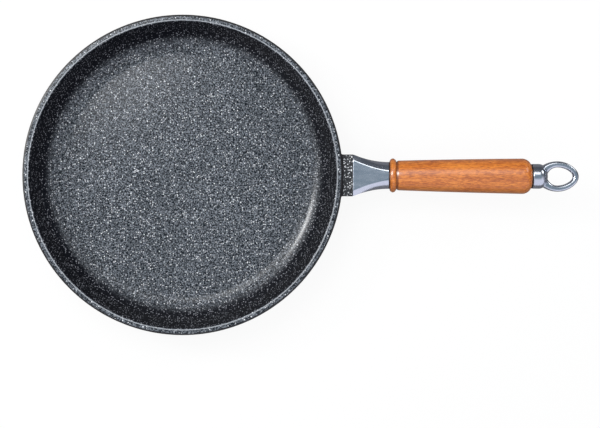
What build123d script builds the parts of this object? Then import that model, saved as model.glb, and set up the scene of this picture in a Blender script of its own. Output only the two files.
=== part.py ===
from build123d import *
import os
from math import atan, cos, degrees, radians, sin, tan

# A cast frying pan with a turned wooden handle, in millimetres.
# The origin is the middle of the underside, +Z is up and the handle runs along +X.

# Bowl, outside
rim_radius = 140.0
pan_height = 48.0
lip_height = 6.7
lip_overhang = 5.4
lip_width = 6.0
lip_outer_round = 1.7
lip_under_round = 0.7
lip_under_flat = 0.02
lip_inner_round = 1.6
flare_height = 8.0
outer_lean = 3.0
heel_width = 27.0
heel_height = 24.0
foot_height = 1.9
foot_inset = 1.2
foot_chamfer = 0.4

# Bowl, inside, measured on the finished lining
floor_height = 6.0
inner_lean = 8.5
inner_heel_width = 23.0
inner_heel_height = 22.0
lining_thickness = 0.4

# Steel disc let into the underside
disc_radius = 88.0
disc_thickness = 1.6
disc_clearance = 0.05
disc_groove_count = 5
disc_groove_pitch = 14.0
disc_groove_width = 1.6
disc_groove_depth = 0.3

# Handle axis, which starts at the end face of the cast lug, this far out from the rim
handle_tilt = 8.3
lug_stand = 10.5
axis_height = 31.8

# Cast lug
lug_width = 36.7
lug_top = 44.3
lug_bottom = 17.7
lug_round = 2.0
lug_spigot_length = 2.5
spigot_clearance = 0.25

# Tie rod with its thread in the lug and in the hanging loop
rod_radius = 4.0
thread_clearance = 0.05
rod_clearance = 0.3
rod_chamfer = 0.8
insert_radius = 6.5
insert_length = 14.0
insert_floor = 1.5
insert_groove_depth = 0.8
insert_groove_length = 4.0
insert_clearance = 0.03
rod_end_gap = 0.5

# Nut and spring washer that lock the rod to the lug
nut_across_flats = 13.0
nut_thickness = 6.5
nut_chamfer = 0.7
spring_washer_radius = 7.2
spring_washer_thickness = 2.0
spring_washer_slot = 1.2
spring_washer_slant = 20.0

# Flame guard, from a rounded oblong at the lug to a near circle at the wood
joint_gap = 0.2
guard_length = 31.2
guard_wall = 2.2
guard_front_round = 2.7
guard_rear_radius = 12.15
guard_rear_round = 8.9
guard_bulkhead = 4.0
guard_section_count = 6
guard_least_round = 0.4
tenon_radius = 7.0
tenon_length = 3.0
tenon_clearance = 0.2

# Washers at the two ends of the wood
front_washer_thickness = 0.7
front_washer_inset = 0.35
end_washer_thickness = 0.8
end_washer_inset = 0.35
running_gap = 0.1

# Wooden handle
wood_length = 120.7
bead_radius = 15.0
bead_length = 5.9
bead_foot_radius = 12.6
groove_length = 1.0
groove_depth = 0.5
wood_front_radius = 13.1
wood_rear_radius = 15.3
wood_swell = 0.25
wood_end_radius = 10.9
wood_end_round = 8.0
wood_end_slope = 52.0

# Hanging loop, cast in one with its collar
collar_radius = 10.7
collar_length = 5.8
collar_round = 0.6
dome_length = 7.4
dome_crown_radius = 14.0
loop_grip = 8.0
loop_bore_gap = 0.6
loop_length = 38.8
loop_half_width = 13.1
loop_side_bar = 5.3
loop_tip_bar = 4.7
loop_nose = 17.6
loop_heel = 18.4
loop_nose_round = 8.9
loop_heel_round = 9.0
hole_nose_round = 4.6
hole_heel = 8.6
hole_heel_round = 5.6
loop_root_thickness = 8.6
loop_tip_thickness = 6.8
loop_round = 2.1


def tangent_phase(width, height, lean):
    """Angle on an ellipse, in degrees from its widest point, where the edge leans this much."""
    return degrees(atan(height / width * tan(radians(lean))))


# Sizes that follow from the ones above
cast_top = pan_height - lining_thickness
lip_under = pan_height - lip_height
lining_edge = rim_radius - lip_outer_round
flare_width = lip_overhang - lip_under_round
flare_centre = (rim_radius - lip_under_round, lip_under - flare_height)
heel_centre_height = foot_height + heel_height
lug_reach = rim_radius + lug_stand
guard_front = joint_gap
guard_rear = guard_front + guard_length
wood_front = guard_rear + front_washer_thickness
wood_rear = wood_front + wood_length
end_washer_front = wood_rear + running_gap
collar_front = end_washer_front + end_washer_thickness + running_gap
insert_start = lug_spigot_length - insert_length
rod_start = insert_start + insert_floor + rod_end_gap
rod_end = collar_front + loop_grip
handle_plane = Plane(
    origin=(lug_reach, 0, axis_height),
    x_dir=(0, 1, 0),
    z_dir=(cos(radians(handle_tilt)), 0, sin(radians(handle_tilt))),
)
lug_face_top = (lug_top - axis_height) / cos(radians(handle_tilt))
lug_face_bottom = (lug_bottom - axis_height) / cos(radians(handle_tilt))


def on_handle(shape, distance):
    """Places a shape made about Z at this distance along the handle axis."""
    return handle_plane.location * Pos(0, 0, distance) * shape


def turned(outline):
    """A solid turned about Z from an outline of radius and height."""
    return revolve(Plane.XZ * make_face(outline), Axis.Z)


def standing(radius, height):
    """A cylinder that stands on the XY plane."""
    return Cylinder(radius, height, align=(Align.CENTER, Align.CENTER, Align.MIN))


def ring(inner_radius, outer_radius, height):
    """A flat ring that stands on the XY plane."""
    return standing(outer_radius, height) - standing(inner_radius, height)


# The outside of the bowl: foot, heel, wall, flare under the lip, and lip
def bowl_outside():
    flare_phase = tangent_phase(flare_width, flare_height, outer_lean)
    flare = EllipticalCenterArc(
        flare_centre, flare_width, flare_height, 180 - flare_phase, arc_size=flare_phase - 90
    )
    heel_phase = tangent_phase(heel_width, heel_height, outer_lean)
    heel_end_height = heel_centre_height - heel_height * sin(radians(heel_phase))
    flare_start = flare @ 0
    heel_end_radius = flare_start.X - (flare_start.Y - heel_end_height) * tan(radians(outer_lean))
    heel_centre_radius = heel_end_radius - heel_width * cos(radians(heel_phase))
    heel_centre = (heel_centre_radius, heel_centre_height)
    heel = EllipticalCenterArc(heel_centre, heel_width, heel_height, -90, arc_size=90 - heel_phase)
    lip = FilletPolyline(
        flare @ 1,
        (rim_radius, lip_under),
        (rim_radius, cast_top),
        (0, cast_top),
        radius=[lip_under_round - lip_under_flat, lip_outer_round],
    )
    outline = Line((0, foot_height), heel @ 0) + heel + Line(heel @ 1, flare @ 0) + flare + lip
    outline += Line((0, cast_top), (0, foot_height))
    foot = standing(heel_centre_radius - foot_inset, floor_height - lining_thickness)
    foot = chamfer(foot.edges().sort_by(Axis.Z)[0], foot_chamfer)
    return turned(outline) + foot


# The inside of the bowl at this depth under the finished lining, from the middle out to the lip
def inside_edges(depth):
    lean = tan(radians(inner_lean))
    phase = tangent_phase(inner_heel_width, inner_heel_height, inner_lean)
    centre_height = floor_height + inner_heel_height
    wall_foot = centre_height - inner_heel_height * sin(radians(phase))
    centre_radius = rim_radius - lip_width - (pan_height - wall_foot) * lean
    centre_radius -= inner_heel_width * cos(radians(phase))
    width = inner_heel_width + depth
    height = inner_heel_height + depth
    phase = tangent_phase(width, height, inner_lean)
    centre = (centre_radius, centre_height)
    heel = EllipticalCenterArc(centre, width, height, -90, arc_size=90 - phase)
    top = pan_height - depth
    wall_start = heel @ 1
    corner = (wall_start.X + (top - wall_start.Y) * lean, top)
    lip = FilletPolyline(wall_start, corner, (lining_edge, top), radius=lip_inner_round - depth)
    return Line((0, floor_height - depth), heel @ 0) + heel + lip


def bowl_cavity():
    above = pan_height + lip_height
    outline = inside_edges(lining_thickness) + Line((lining_edge, cast_top), (lining_edge, above))
    outline += Line((lining_edge, above), (0, above))
    outline += Line((0, above), (0, floor_height - lining_thickness))
    return turned(outline)


# Section of the flame guard at this share of its length, drawn in by the wall for the hollow
def guard_section(share, inset):
    left = (1 - share) ** 2
    half_width = guard_rear_radius + (lug_width / 2 - guard_rear_radius) * left - inset
    top = guard_rear_radius + (lug_face_top - guard_rear_radius) * left - inset
    bottom = -guard_rear_radius + (lug_face_bottom + guard_rear_radius) * left + inset
    corner = guard_rear_round + (guard_front_round - guard_rear_round) * left - inset
    corner = max(corner, guard_least_round)
    section = RectangleRounded(2 * half_width, top - bottom, corner)
    return Pos(0, (top + bottom) / 2, guard_length * share) * section


# The lug runs level from the wall to its sloping end face, where a spigot enters the guard
def lug():
    face = Pos(0, (lug_face_top + lug_face_bottom) / 2)
    face *= RectangleRounded(lug_width, lug_face_top - lug_face_bottom, lug_round)
    block = extrude(handle_plane * face, amount=lug_reach - (rim_radius - heel_width), dir=(-1, 0, 0))
    tip = guard_section(lug_spigot_length / guard_length, guard_wall + spigot_clearance)
    spigot = extrude(tip, amount=-lug_spigot_length)
    return block + on_handle(spigot, 0)


# Outline of the threaded insert, with a groove that the casting grips
def insert_solid(extra):
    radius = insert_radius + extra
    waist = radius - insert_groove_depth
    low = (insert_length - insert_groove_length) / 2 + extra
    high = (insert_length + insert_groove_length) / 2 - extra
    points = [(0, -extra), (radius, -extra), (radius, low), (waist, low), (waist, high), (radius, high)]
    points += [(radius, insert_length), (0, insert_length)]
    return turned(Polyline(*points, close=True))


def pan_body():
    body = bowl_outside() + lug() - bowl_cavity()
    body -= standing(disc_radius + disc_clearance, disc_thickness)
    body -= on_handle(insert_solid(insert_clearance), insert_start)
    return body


def nonstick_lining():
    outer = inside_edges(0)
    outline = outer + inside_edges(lining_thickness)
    outline += Line((lining_edge, pan_height), (lining_edge, cast_top))
    outline += Line((0, floor_height), (0, floor_height - lining_thickness))
    return turned(outline)


def base_disc():
    disc = standing(disc_radius, disc_thickness)
    for index in range(disc_groove_count):
        radius = disc_radius - disc_groove_pitch * (index + 1)
        disc -= ring(radius, radius + disc_groove_width, disc_groove_depth)
    return disc


def rod_insert():
    bore = standing(rod_radius + thread_clearance, insert_length)
    return on_handle(insert_solid(0) - Pos(0, 0, insert_floor) * bore, insert_start)


def tie_rod():
    rod = standing(rod_radius, rod_end - rod_start)
    rod = chamfer(rod.edges().filter_by(GeomType.CIRCLE), rod_chamfer)
    return on_handle(rod, rod_start)


def lock_washer():
    washer = ring(rod_radius + rod_clearance, spring_washer_radius, spring_washer_thickness)
    slot = Rot(spring_washer_slant, 0, 0) * Box(
        2 * spring_washer_radius, spring_washer_slot, 3 * spring_washer_thickness
    )
    slot = Pos(spring_washer_radius, 0, spring_washer_thickness / 2) * slot
    return on_handle(washer - slot, lug_spigot_length)


def lock_nut():
    flat_radius = nut_across_flats / 2
    corner_radius = flat_radius / cos(radians(30))
    nut = extrude(RegularPolygon(flat_radius, 6, major_radius=False), amount=nut_thickness)
    points = [(0, 0), (corner_radius - nut_chamfer, 0), (corner_radius, nut_chamfer / 2)]
    points += [(corner_radius, nut_thickness - nut_chamfer / 2), (corner_radius - nut_chamfer, nut_thickness)]
    points += [(0, nut_thickness)]
    nut &= turned(Polyline(*points, close=True))
    nut -= Cylinder(rod_radius + thread_clearance, nut_thickness * 3)
    return on_handle(nut, lug_spigot_length + spring_washer_thickness)


def flame_guard():
    steps = guard_section_count - 1
    outside = loft([guard_section(index / steps, 0) for index in range(guard_section_count)])
    deep = 1 - guard_bulkhead / guard_length
    inside = loft([guard_section(deep * index / steps, guard_wall) for index in range(guard_section_count)])
    tenon = Pos(0, 0, guard_length) * ring(rod_radius + rod_clearance, tenon_radius, tenon_length)
    guard = outside - inside - Cylinder(rod_radius + rod_clearance, guard_length * 3) + tenon
    return on_handle(guard, guard_front)


def front_washer():
    inner_radius = tenon_radius + tenon_clearance
    washer = ring(inner_radius, guard_rear_radius - front_washer_inset, front_washer_thickness)
    return on_handle(washer, guard_rear)


# The wood is turned: bead, groove, swelling grip, and a rounded end that slopes down to the collar
def wooden_handle():
    bead_start = (bead_foot_radius, 0)
    bead_end = (wood_front_radius - groove_depth, bead_length)
    bead = ThreePointArc(bead_start, (bead_radius, bead_length / 2), bead_end)
    groove_end = (wood_front_radius, bead_length + groove_length)
    slope = radians(wood_end_slope)
    round_drop = wood_end_round * (1 - cos(slope))
    cone_drop = wood_rear_radius - wood_end_radius - round_drop
    cone_length = cone_drop / tan(slope)
    round_start = (wood_rear_radius, wood_length - cone_length - wood_end_round * sin(slope))
    round_end = (wood_rear_radius - round_drop, wood_length - cone_length)
    half_slope = slope / 2
    round_middle = (
        wood_rear_radius - wood_end_round * (1 - cos(half_slope)),
        round_start[1] + wood_end_round * sin(half_slope),
    )
    grip_middle = (
        (wood_front_radius + wood_rear_radius) / 2 + wood_swell,
        (groove_end[1] + round_start[1]) / 2,
    )
    outline = Line((0, 0), bead_start) + bead + Line(bead_end, groove_end)
    outline += ThreePointArc(groove_end, grip_middle, round_start)
    outline += ThreePointArc(round_start, round_middle, round_end)
    outline += Polyline(round_end, (wood_end_radius, wood_length), (0, wood_length), (0, 0))
    wood = turned(outline) - Cylinder(rod_radius + rod_clearance, wood_length * 3)
    socket_depth = tenon_length - front_washer_thickness + tenon_clearance
    wood -= Cylinder(tenon_radius + tenon_clearance, 2 * socket_depth)
    return on_handle(wood, wood_front)


def end_washer():
    washer = ring(rod_radius + rod_clearance, wood_end_radius - end_washer_inset, end_washer_thickness)
    return on_handle(washer, end_washer_front)

# A quarter of an oval as two tangent arcs, from its side to its end
def quarter_oval(half_width, length, end_round):
    reach = half_width**2 + length**2 - 2 * length * end_round
    side_round = reach / (2 * (half_width - end_round))
    span = degrees(atan((length - end_round) / (side_round - half_width)))
    side = CenterArc((half_width - side_round, 0), side_round, 0, span)
    return side + CenterArc((0, length - end_round), end_round, span, 90 - span)


# An oval about the origin, its nose and its heel of different length and roundness
def oval(half_width, nose, nose_round, heel, heel_round):
    half = quarter_oval(half_width, nose, nose_round)
    half += mirror(quarter_oval(half_width, heel, heel_round), Plane.XZ)
    return make_face(half + mirror(half, Plane.YZ))


# The collar is a short cylinder that ends in a dome
def collar():
    side = FilletPolyline((0, 0), (collar_radius, 0), (collar_radius, collar_length), radius=collar_round)
    dome = Pos(0, collar_length) * quarter_oval(collar_radius, dome_length, dome_crown_radius)
    return turned(side + dome + Line((0, collar_length + dome_length), (0, 0)))


def hanging_loop():
    middle = loop_length - loop_nose
    outer = oval(loop_half_width, loop_nose, loop_nose_round, loop_heel, loop_heel_round)
    bar = extrude(Plane.XZ * Pos(0, middle) * outer, amount=loop_root_thickness, both=True)
    root, tip = loop_root_thickness / 2, loop_tip_thickness / 2
    side = Polyline((-root, 0), (root, 0), (tip, loop_length), (-tip, loop_length), close=True)
    bar &= extrude(Plane.YZ * make_face(side), amount=loop_half_width * 2, both=True)
    hole_nose = loop_nose - loop_tip_bar
    hole = oval(loop_half_width - loop_side_bar, hole_nose, hole_nose_round, hole_heel, hole_heel_round)
    bar -= extrude(Plane.XZ * Pos(0, middle) * hole, amount=loop_root_thickness, both=True)
    bar = fillet(bar.edges().filter_by(GeomType.LINE, reverse=True), loop_round)
    bore = Cylinder(rod_radius + thread_clearance, 2 * (loop_grip + loop_bore_gap))
    return on_handle(collar() + bar - bore, collar_front)


nodes = {
    "pan_body": pan_body,
    "nonstick_lining": nonstick_lining,
    "base_disc": base_disc,
    "rod_insert": rod_insert,
    "tie_rod": tie_rod,
    "lock_washer": lock_washer,
    "lock_nut": lock_nut,
    "flame_guard": flame_guard,
    "front_washer": front_washer,
    "wooden_handle": wooden_handle,
    "end_washer": end_washer,
    "hanging_loop": hanging_loop,
}

os.makedirs("parts", exist_ok=True)
for name, make in nodes.items():
    export_step(make(), f"parts/{name}.step")
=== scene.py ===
import bpy
from math import atan, atan2, cos, pi, radians, sin, sqrt, tan
from mathutils import Matrix, Vector


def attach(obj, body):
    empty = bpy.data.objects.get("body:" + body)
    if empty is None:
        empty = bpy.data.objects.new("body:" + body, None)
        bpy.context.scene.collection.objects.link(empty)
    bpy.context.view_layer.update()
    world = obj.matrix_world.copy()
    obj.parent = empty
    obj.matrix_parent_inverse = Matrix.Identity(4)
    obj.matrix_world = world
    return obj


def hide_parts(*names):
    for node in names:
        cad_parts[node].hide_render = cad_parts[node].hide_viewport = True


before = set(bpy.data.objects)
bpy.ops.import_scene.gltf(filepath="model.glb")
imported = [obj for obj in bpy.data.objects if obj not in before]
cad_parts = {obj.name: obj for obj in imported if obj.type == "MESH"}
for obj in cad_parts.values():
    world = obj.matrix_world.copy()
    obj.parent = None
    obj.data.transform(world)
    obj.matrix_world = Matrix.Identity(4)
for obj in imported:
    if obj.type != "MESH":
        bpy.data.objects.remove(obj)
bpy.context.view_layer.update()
mm = 0.001
# what counts as nothing: between outline points in mm, off the axis and between vertices in metres
tiny = {"point": 1e-4, "axis": 1e-9, "weld": 1e-6}

# where the handle axis starts, on the end face of the lug, and how it leans
handleLine = {"startX": 150.5, "startZ": 31.8, "tilt": radians(8.3)}
# how far along that axis each piece starts
handleStops = {"guard": 0.2, "frontWasher": 31.4, "wood": 32.1, "endWasher": 152.9, "loop": 153.8}


# view
cameraSet = {
    "height": 923, "aimX": 39.6, "aimY": 18.4, "turn": 0.2,
    "lens": 60.23, "sensor": 36, "shiftX": 0.12, "shiftY": -0.10,
}


def makeCamera():
    # straight above the bowl, as in the photograph's upper view
    bpy.ops.object.select_all(action="DESELECT")
    spot = (cameraSet["aimX"] * mm, cameraSet["aimY"] * mm, cameraSet["height"] * mm)
    bpy.ops.object.camera_add(location=spot, rotation=(0, 0, radians(cameraSet["turn"])))
    camera = bpy.context.object
    camera.data.lens = cameraSet["lens"]
    camera.data.sensor_width = cameraSet["sensor"]
    camera.data.shift_x = cameraSet["shiftX"]
    camera.data.shift_y = cameraSet["shiftY"]
    bpy.context.scene.camera = camera
    print("camera placed")


# shaping helpers
def onlyThis(piece):
    bpy.ops.object.select_all(action="DESELECT")
    piece.select_set(True)
    bpy.context.view_layer.objects.active = piece


def arcPoints(centre, across, up, start, end, count):
    # points on an arc or a part of an ellipse, angles in degrees
    points = []
    for step in range(count + 1):
        angle = radians(start + (end - start) * step / count)
        points.append((centre[0] + across * cos(angle), centre[1] + up * sin(angle)))
    return points


def cornerPoints(before, corner, after, radius, count=5):
    # points that round a corner between two straight runs
    a = (Vector(before) - Vector(corner)).normalized()
    b = (Vector(after) - Vector(corner)).normalized()
    half = a.angle(b) / 2
    back = radius / tan(half)
    middle = Vector(corner) + (a + b).normalized() * radius / sin(half)
    first = Vector(corner) + a * back - middle
    last = Vector(corner) + b * back - middle
    points = []
    for step in range(count + 1):
        swing = first.lerp(last, step / count).normalized() * radius
        points.append(tuple(middle + swing))
    return points


def tidyPoints(points):
    # drops points that repeat the one before
    kept = [points[0]]
    for point in points[1:]:
        if (Vector(point) - Vector(kept[-1])).length > tiny["point"]:
            kept.append(point)
    return kept


def editMode():
    bpy.ops.object.mode_set(mode="EDIT")


def objectMode():
    bpy.ops.object.mode_set(mode="OBJECT")


def newRing(name, count):
    # a closed ring of vertices that are placed afterwards
    bpy.ops.object.select_all(action="DESELECT")
    bpy.ops.mesh.primitive_circle_add(vertices=count, radius=1)
    piece = bpy.context.object
    piece.name = name
    return piece


def facesOut(piece):
    # points all faces outwards
    onlyThis(piece)
    editMode()
    bpy.ops.mesh.select_all(action="SELECT")
    bpy.ops.mesh.normals_make_consistent(inside=False)
    objectMode()


def stackRings(name, rings):
    # one skin over rings of equally many points, each extruded from the one before, closed at both ends
    count = len(rings[0])
    piece = newRing(name, count)
    for index, ring in enumerate(rings):
        if index:
            onlyThis(piece)
            editMode()
            bpy.ops.mesh.select_mode(type="EDGE")
            bpy.ops.mesh.extrude_edges_move(TRANSFORM_OT_translate={"value": (0, 0, mm)})
            objectMode()
        for offset, point in enumerate(ring):
            piece.data.vertices[index * count + offset].co = Vector(point) * mm
    for start in (0, len(piece.data.vertices) - count):
        editMode()
        bpy.ops.mesh.select_mode(type="VERT")
        bpy.ops.mesh.select_all(action="DESELECT")
        objectMode()
        for index in range(start, start + count):
            piece.data.vertices[index].select = True
        editMode()
        bpy.ops.mesh.edge_face_add()
        objectMode()
    facesOut(piece)
    return piece


def turnPiece(name, outline, steps):
    # a ring of vertices is laid along the outline (radius, height in mm) and spun about Z
    outline = tidyPoints(outline)
    piece = newRing(name, len(outline))
    for vertex, (radius, height) in zip(piece.data.vertices, outline):
        vertex.co = (radius * mm, 0, height * mm)
    # the run along the axis, if there is one, is opened before the spin
    editMode()
    bpy.ops.mesh.select_mode(type="EDGE")
    bpy.ops.mesh.select_all(action="DESELECT")
    objectMode()
    for edge in piece.data.edges:
        edge.select = all(abs(piece.data.vertices[index].co.x) < tiny["axis"] for index in edge.vertices)
    editMode()
    bpy.ops.mesh.delete(type="EDGE")
    bpy.ops.mesh.select_all(action="SELECT")
    bpy.ops.mesh.spin(steps=steps, angle=2 * pi, center=(0, 0, 0), axis=(0, 0, 1))
    bpy.ops.mesh.select_all(action="SELECT")
    bpy.ops.mesh.remove_doubles(threshold=tiny["weld"])
    objectMode()
    facesOut(piece)
    return piece


def smoothPiece(piece, degreesLimit):
    onlyThis(piece)
    bpy.ops.object.shade_smooth_by_angle(angle=radians(degreesLimit))


def applyAll(piece):
    onlyThis(piece)
    for modifier in list(piece.modifiers):
        bpy.ops.object.modifier_apply(modifier=modifier.name)


def combine(piece, tool, operation):
    # joins or cuts with another solid, which is then gone
    step = piece.modifiers.new("combine", "BOOLEAN")
    step.operation = operation
    step.object = tool
    step.solver = "EXACT"
    applyAll(piece)
    onlyThis(tool)
    bpy.ops.object.delete()


def roundBar(radius, start, end, steps=48):
    # a plain cylinder along Z, between two heights in mm
    bpy.ops.object.select_all(action="DESELECT")
    bpy.ops.mesh.primitive_cylinder_add(vertices=steps, radius=radius * mm, depth=(end - start) * mm)
    bar = bpy.context.object
    bar.data.transform(Matrix.Translation((0, 0, (start + end) / 2 * mm)))
    return bar


def handleMatrix(distance):
    # turns a piece made along Z so that Z runs along the handle and Y stays across
    along = Vector((cos(handleLine["tilt"]), 0, sin(handleLine["tilt"])))
    across = Vector((0, 1, 0))
    up = along.cross(across)
    start = Vector((handleLine["startX"], 0, handleLine["startZ"])) * mm + along * distance * mm
    turn = Matrix((across, up, along)).transposed().to_4x4()
    return Matrix.Translation(start) @ turn


def layOnHandle(piece, distance):
    # the place goes into the mesh, so the object itself stays at the origin
    piece.data.transform(handleMatrix(distance))
    piece.data.update()


def dress(piece, finish, limit, distance=None):
    # its finish, its place on the handle if it has one, and smooth shading up to this angle
    piece.data.materials.clear()
    piece.data.materials.append(finish)
    if distance is not None:
        layOnHandle(piece, distance)
    smoothPiece(piece, limit)


def join(pieces, name):
    bpy.ops.object.select_all(action="DESELECT")
    for piece in pieces:
        piece.select_set(True)
    bpy.context.view_layer.objects.active = pieces[0]
    bpy.ops.object.join()
    joined = bpy.context.object
    joined.name = name
    return joined


# bowl
bowl = {
    "rim": 140, "height": 48, "lipHeight": 6.7, "lipOverhang": 5.4, "lipWidth": 6.0,
    "outerRound": 1.7, "underRound": 0.7, "innerRound": 1.6, "flareHeight": 8, "outerLean": 3.0,
    "heelWidth": 27, "heelHeight": 24, "footHeight": 1.9, "footInset": 1.2, "footChamfer": 0.4,
    "floorHeight": 6.0, "innerLean": 8.5, "innerHeelWidth": 23, "innerHeelHeight": 22,
    "lining": 0.4, "discRadius": 88, "discGap": 0.05, "discThickness": 1.6, "recessEdge": 0.25,
    "footTop": ((0.0, -0.3), (0.1, -0.08), (0.35, 0.0)), "floorRings": (30, 60, 85), "outsideFrom": 100,
    "flareParts": 14, "heelParts": 26, "lipParts": 8, "innerLipParts": 7,
    "castingParts": 24, "coatParts": 40, "steps": 192, "smooth": 35,
}
lug = {
    "reach": 150.5, "width": 36.7, "top": 44.3, "bottom": 17.7, "round": 2.0, "flare": 1.6, "sink": 0.6,
    "flareSteps": ((0.0, 1.0), (0.12, 0.62), (0.3, 0.32), (0.55, 0.12), (1.0, 0.0)),
    "spigot": 2.4, "spigotInset": 2.6, "bore": 6.53, "boreDepth": 11.53, "leastRound": 0.3,
    "edge": 0.3, "endBack": 0.6, "endNear": 0.15, "acrossParts": 14, "upParts": 10, "cornerParts": 6,
}


def leanPhase(width, height, lean):
    return atan(height / width * tan(lean))


def outerOutline():
    # from the middle of the underside out over the foot, heel, wall and lip to the lining's edge
    b = bowl
    lean = radians(b["outerLean"])
    flareWidth = b["lipOverhang"] - b["underRound"]
    lipUnder = b["height"] - b["lipHeight"]
    flareCentre = (b["rim"] - b["underRound"], lipUnder - b["flareHeight"])
    flarePhase = leanPhase(flareWidth, b["flareHeight"], lean)
    flareStart = 180 - flarePhase * 180 / pi
    flare = arcPoints(flareCentre, flareWidth, b["flareHeight"], flareStart, 90, b["flareParts"])
    heelPhase = leanPhase(b["heelWidth"], b["heelHeight"], lean)
    heelCentreZ = b["footHeight"] + b["heelHeight"]
    heelEndZ = heelCentreZ - b["heelHeight"] * sin(heelPhase)
    heelEndX = flare[0][0] - (flare[0][1] - heelEndZ) * tan(lean)
    heelCentreX = heelEndX - b["heelWidth"] * cos(heelPhase)
    heelEnd = -heelPhase * 180 / pi
    heelCentre = (heelCentreX, heelCentreZ)
    heel = arcPoints(heelCentre, b["heelWidth"], b["heelHeight"], -90, heelEnd, b["heelParts"])
    footX = heelCentreX - b["footInset"]
    foot = [(footX - b["footChamfer"], 0), (footX, b["footChamfer"])]
    foot += [(footX + out, b["footHeight"] + up) for out, up in b["footTop"]]
    recess = b["discRadius"] + b["discGap"]
    disc = [(0, b["discThickness"]), (recess, b["discThickness"])]
    disc += [(recess, b["recessEdge"]), (recess + b["recessEdge"], 0)]
    top = b["height"] - b["lining"]
    under = (b["rim"], lipUnder)
    lip = cornerPoints((flareCentre[0], lipUnder), under, (b["rim"], top), b["underRound"] * 0.98)
    lip += cornerPoints(under, (b["rim"], top), (b["outsideFrom"], top), b["outerRound"], b["lipParts"])
    return disc + foot + heel + flare + lip


def innerOutline(depth, count):
    # inside of the bowl this far under the finished lining, from the middle out to the lip
    b = bowl
    lean = radians(b["innerLean"])
    phase = leanPhase(b["innerHeelWidth"], b["innerHeelHeight"], lean)
    centreZ = b["floorHeight"] + b["innerHeelHeight"]
    wallFoot = centreZ - b["innerHeelHeight"] * sin(phase)
    wallFootX = b["rim"] - b["lipWidth"] - (b["height"] - wallFoot) * tan(lean)
    centreX = wallFootX - b["innerHeelWidth"] * cos(phase)
    width = b["innerHeelWidth"] + depth
    height = b["innerHeelHeight"] + depth
    phase = leanPhase(width, height, lean)
    heel = arcPoints((centreX, centreZ), width, height, -90, -phase * 180 / pi, count)
    top = b["height"] - depth
    corner = (heel[-1][0] + (top - heel[-1][1]) * tan(lean), top)
    edge = (b["rim"] - b["outerRound"], top)
    lip = cornerPoints(heel[-1], corner, edge, b["innerRound"] - depth, b["innerLipParts"])
    floor = [(0, b["floorHeight"] - depth)]
    floor += [(radius, b["floorHeight"] - depth) for radius in b["floorRings"]]
    return floor + heel + lip + [edge]


def lugSection(offset):
    # rounded oblong in (y, z), grown by the offset
    half = lug["width"] / 2 + offset
    low = lug["bottom"] - offset
    high = lug["top"] + offset
    turn = max(lug["round"] + offset, lug["leastRound"])
    points = []
    for centreY, centreZ, start in (
        (half - turn, high - turn, 0), (-half + turn, high - turn, 90),
        (-half + turn, low + turn, 180), (half - turn, low + turn, 270),
    ):
        points += arcPoints((centreY, centreZ), turn, turn, start, start + 90, lug["cornerParts"])
    spread = []
    for index, point in enumerate(points):
        following = points[(index + 1) % len(points)]
        spread.append(point)
        gap = Vector(following) - Vector(point)
        parts = 0
        if gap.length > lug["round"]:
            parts = lug["acrossParts"] if abs(gap.x) > abs(gap.y) else lug["upParts"]
        for part in range(1, parts + 1):
            share = part / (parts + 1)
            spread.append(tuple(Vector(point).lerp(Vector(following), share)))
    return spread


def wallRadiusAt(height):
    # outside radius of the bowl at this height
    points = [point for point in outerOutline() if point[1] >= bowl["footHeight"]]
    points = [point for point in points if point[0] > bowl["outsideFrom"]]
    best = bowl["rim"]
    for low, high in zip(points, points[1:]):
        if low[1] <= height <= high[1] and high[1] > low[1]:
            share = (height - low[1]) / (high[1] - low[1])
            best = low[0] + (high[0] - low[0]) * share
            break
    return best


def makeLug():
    # rings of the section, from inside the wall over the flare and the end face into the pocket
    tilt = handleLine["tilt"]
    along = Vector((cos(tilt), 0, sin(tilt)))
    sections = []
    inner = [(wallRadiusAt(z), y, z) for y, z in lugSection(lug["flare"])]
    sections.append([(sqrt(max(r * r - y * y, 0)) - lug["sink"], y, z) for r, y, z in inner])
    for share, offset in lug["flareSteps"]:
        ring = []
        for y, z in lugSection(lug["flare"] * offset):
            wall = sqrt(max(wallRadiusAt(z) ** 2 - y * y, 0))
            ring.append((wall + share * lug["flare"], y, z))
        sections.append(ring)
    # the sloping end face, the spigot that the guard fits over and the pocket that holds the threaded insert
    edge = -lug["edge"]
    spigot = edge - lug["spigotInset"]
    steps = [(0, -lug["endBack"]), (0, -lug["endNear"]), (edge, 0), (spigot, 0), (spigot, lug["spigot"])]
    for offset, shift in steps:
        ring = []
        for y, z in lugSection(offset):
            ring.append(Vector((lug["reach"] - (z - handleLine["startZ"]) * tan(tilt), y, z)) + along * shift)
        sections.append(ring)
    for distance in (lug["spigot"], -lug["boreDepth"]):
        ring = []
        for y, z in lugSection(spigot):
            angle = atan2(z - handleLine["startZ"], y)
            spot = Vector((lug["bore"] * cos(angle), lug["bore"] * sin(angle), distance)) * mm
            ring.append(handleMatrix(0) @ spot / mm)
        sections.append(ring)
    return stackRings("lug", sections)


def makeBowl(coat, spray):
    inside = list(reversed(innerOutline(bowl["lining"], bowl["castingParts"])))
    body = turnPiece("bowlCasting", outerOutline() + inside, bowl["steps"])
    casting = join([body, makeLug()], "bowlCasting")
    dress(casting, coat, bowl["smooth"])
    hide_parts("pan_body")
    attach(casting, "pan")
    print("bowl casting made")
    lining = turnPiece("speckledLining", innerOutline(0, bowl["coatParts"]) + inside, bowl["steps"])
    dress(lining, spray, bowl["smooth"])
    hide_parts("nonstick_lining")
    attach(lining, "pan")
    print("lining made")


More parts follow.
